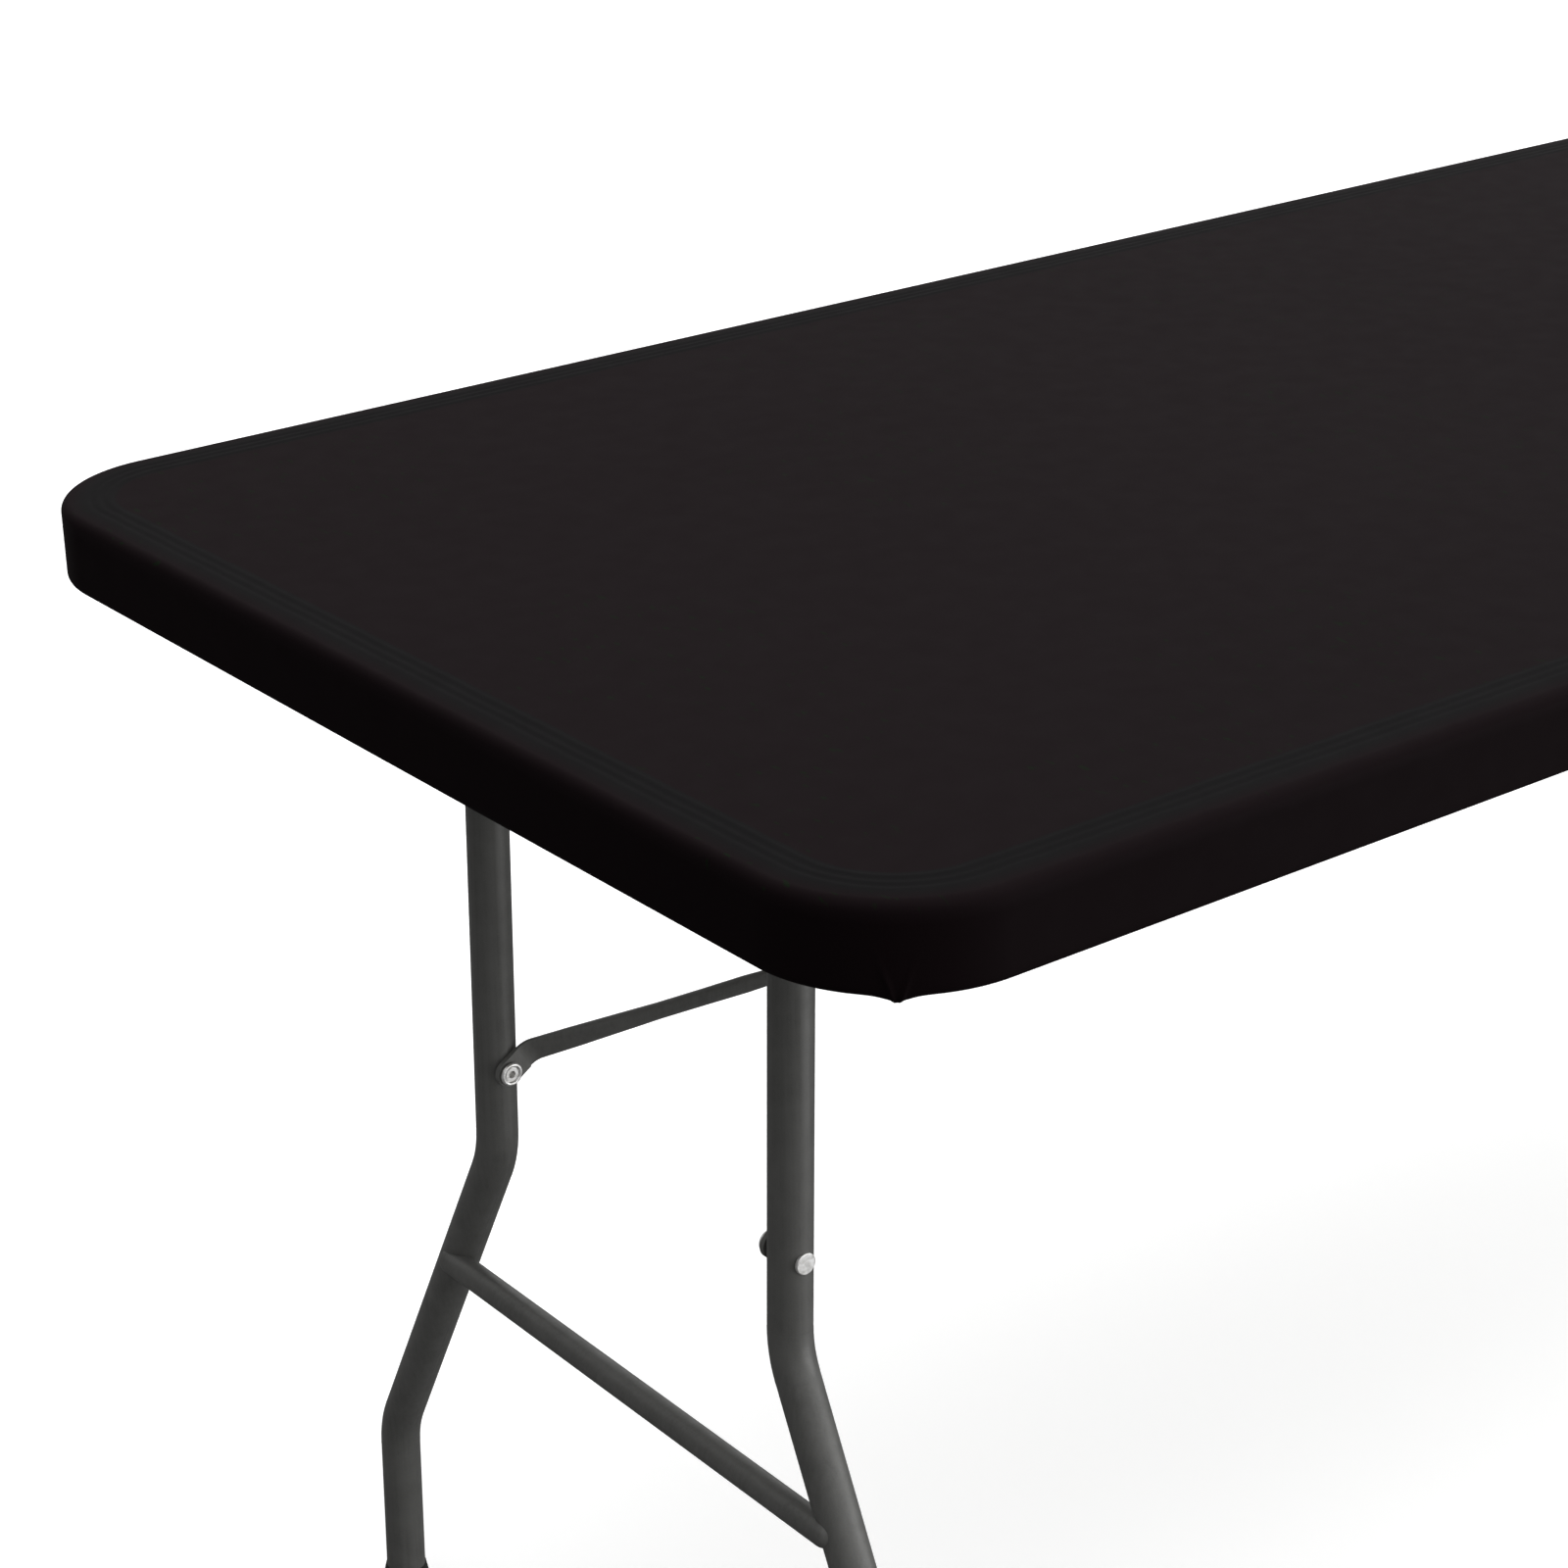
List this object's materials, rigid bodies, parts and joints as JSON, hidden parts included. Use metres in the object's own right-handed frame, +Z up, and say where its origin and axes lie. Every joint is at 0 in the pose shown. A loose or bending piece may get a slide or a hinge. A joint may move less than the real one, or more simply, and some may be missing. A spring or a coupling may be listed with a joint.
{
  "type": "folding table",
  "caption": "Rectangular folding table with a fitted stretch cover, wishbone leg frames that fold under the top and locking centre braces.",
  "frame": {"origin": "on the floor, under the middle of the top", "axes": "+X along the length of the top, +Y across it towards the back, +Z up; rest pose is the open table"},
  "size_m": [1.829, 0.762, 0.737],
  "materials": {
    "stretch_cover": "matte black stretch cloth",
    "moulded_panel": "light grey moulded polyethylene, fine grain",
    "coated_steel": "dark grey hammered powder coat",
    "bright_steel": "zinc plated",
    "foot_rubber": "matte black",
    "nylon": "natural nylon"
  },
  "bodies": {
    "tabletop": {"tabletop_panel": "moulded_panel", "table_cover": "stretch_cover", "cover_elastic": "foot_rubber", "rail_front": "coated_steel", "rail_back": "coated_steel", "rail_screws": "bright_steel", "pivot_bushes": "nylon", "bracket_left": "coated_steel", "bracket_right": "coated_steel", "bracket_screws": "bright_steel", "link_pins_left": "bright_steel", "link_pins_right": "bright_steel", "vent_plug": "moulded_panel"},
    "legs_left": {"leg_left_front": "coated_steel", "leg_left_back": "coated_steel", "pivot_tube_left": "coated_steel", "pivot_caps_left": "foot_rubber", "crossbar_left": "coated_steel", "foot_cap_left_front": "foot_rubber", "foot_cap_left_back": "foot_rubber", "brace_rivets_left": "bright_steel"},
    "brace_left": {"brace_arm_left_front": "coated_steel", "brace_arm_left_back": "coated_steel", "brace_stem_left": "coated_steel", "stem_rivets_left": "bright_steel", "elbow_core_left": "bright_steel"},
    "link_left": {"link_left_front": "coated_steel", "link_left_back": "coated_steel", "elbow_rivets_left": "bright_steel"},
    "legs_right": {"leg_right_front": "coated_steel", "leg_right_back": "coated_steel", "pivot_tube_right": "coated_steel", "pivot_caps_right": "foot_rubber", "crossbar_right": "coated_steel", "foot_cap_right_front": "foot_rubber", "foot_cap_right_back": "foot_rubber", "brace_rivets_right": "bright_steel"},
    "brace_right": {"brace_arm_right_front": "coated_steel", "brace_arm_right_back": "coated_steel", "brace_stem_right": "coated_steel", "stem_rivets_right": "bright_steel", "elbow_core_right": "bright_steel"},
    "link_right": {"link_right_front": "coated_steel", "link_right_back": "coated_steel", "elbow_rivets_right": "bright_steel"}
  },
  "joints": [
    {"name": "leg_fold_left", "type": "hinge", "parent": "tabletop", "child": "legs_left", "pos_m": [-0.7645, 0, 0.704], "axis": [0, -1, 0], "range_deg": [0, 91.5]},
    {"name": "brace_turn_left", "type": "hinge", "parent": "legs_left", "child": "brace_left", "pos_m": [-0.77178, 0, 0.4261], "axis": [0, -1, 0], "range_deg": [-121, 0]},
    {"name": "link_turn_left", "type": "hinge", "parent": "tabletop", "child": "link_left", "pos_m": [-0.2895, 0, 0.712], "axis": [0, -1, 0], "range_deg": [0, 149.39]},
    {"name": "leg_fold_right", "type": "hinge", "parent": "tabletop", "child": "legs_right", "pos_m": [0.7645, 0, 0.704], "axis": [0, 1, 0], "range_deg": [0, 91.5]},
    {"name": "brace_turn_right", "type": "hinge", "parent": "legs_right", "child": "brace_right", "pos_m": [0.77178, 0, 0.4261], "axis": [0, 1, 0], "range_deg": [-121, 0]},
    {"name": "link_turn_right", "type": "hinge", "parent": "tabletop", "child": "link_right", "pos_m": [0.2895, 0, 0.712], "axis": [0, 1, 0], "range_deg": [0, 149.39]}
  ],
  "couplings": [
    {"joint": "brace_turn_left", "follows": "leg_fold_left", "ratio": -1.3219},
    {"joint": "link_turn_left", "follows": "leg_fold_left", "ratio": 1.6321},
    {"joint": "brace_turn_right", "follows": "leg_fold_right", "ratio": -1.3219},
    {"joint": "link_turn_right", "follows": "leg_fold_right", "ratio": 1.6321}
  ]
}
